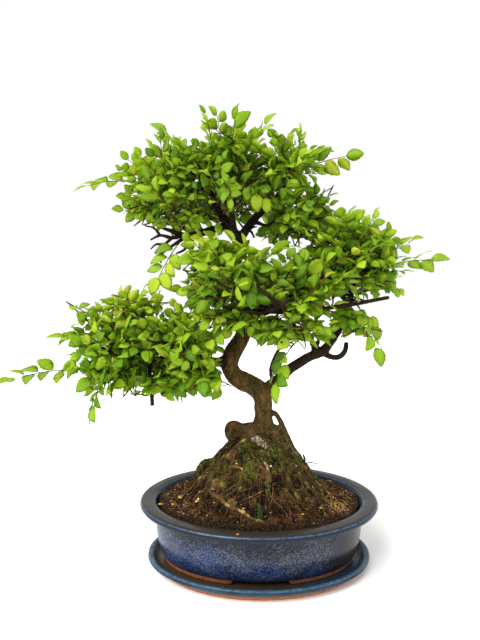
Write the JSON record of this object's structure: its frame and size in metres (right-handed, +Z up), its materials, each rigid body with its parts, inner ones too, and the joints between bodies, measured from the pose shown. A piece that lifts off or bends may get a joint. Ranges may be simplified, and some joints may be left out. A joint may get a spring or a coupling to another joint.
{
  "type": "japanese zelkova bonsai",
  "caption": "Small broad-leaved bonsai tree with a winding trunk, root mound and cloud-shaped leafy pads, in an oval blue glazed pot on a matching saucer.",
  "frame": {"origin": "centre of the saucer's flat underside, where it stands on a table", "axes": "+Z up along the trunk, +X to the right and +Y away from a person who looks at the tree's front"},
  "size_m": [0.4701, 0.204, 0.4941],
  "materials": {
    "saucer_glaze": "gloss",
    "pot_glaze": "gloss",
    "drain_plastic": "matte",
    "soil": "matte",
    "bark": "matte",
    "leaf": "satin"
  },
  "bodies": {
    "root": {"saucer": "saucer_glaze", "pot": "pot_glaze", "drain_mesh_left": "drain_plastic", "drain_mesh_right": "drain_plastic", "soil": "soil", "wood": "bark", "shoot_crown_1": "leaf", "shoot_crown_10": "leaf", "shoot_crown_11": "leaf", "shoot_crown_2": "leaf", "shoot_crown_3": "leaf", "shoot_crown_4": "leaf", "shoot_crown_6": "leaf", "shoot_crown_7": "leaf", "shoot_crown_8": "leaf", "shoot_crown_9": "leaf", "shoot_crown_far_left": "leaf", "shoot_crown_far_right": "leaf", "shoot_crown_high_left": "leaf", "shoot_far_left": "leaf", "shoot_far_right": "leaf", "shoot_hanging_left": "leaf", "shoot_left_1": "leaf", "shoot_left_2": "leaf", "shoot_left_3": "leaf", "shoot_left_4": "leaf", "shoot_left_6": "leaf", "shoot_left_7": "leaf", "shoot_left_inner": "leaf", "shoot_left_under": "leaf", "shoot_low_left": "leaf", "shoot_low_middle": "leaf", "shoot_low_right": "leaf", "shoot_middle_1": "leaf", "shoot_middle_2": "leaf", "shoot_middle_3": "leaf", "shoot_middle_4": "leaf", "shoot_right_1": "leaf", "shoot_right_2": "leaf", "shoot_right_4": "leaf", "shoot_right_front": "leaf", "shoot_right_high": "leaf", "shoot_right_side": "leaf"}
  },
  "joints": []
}
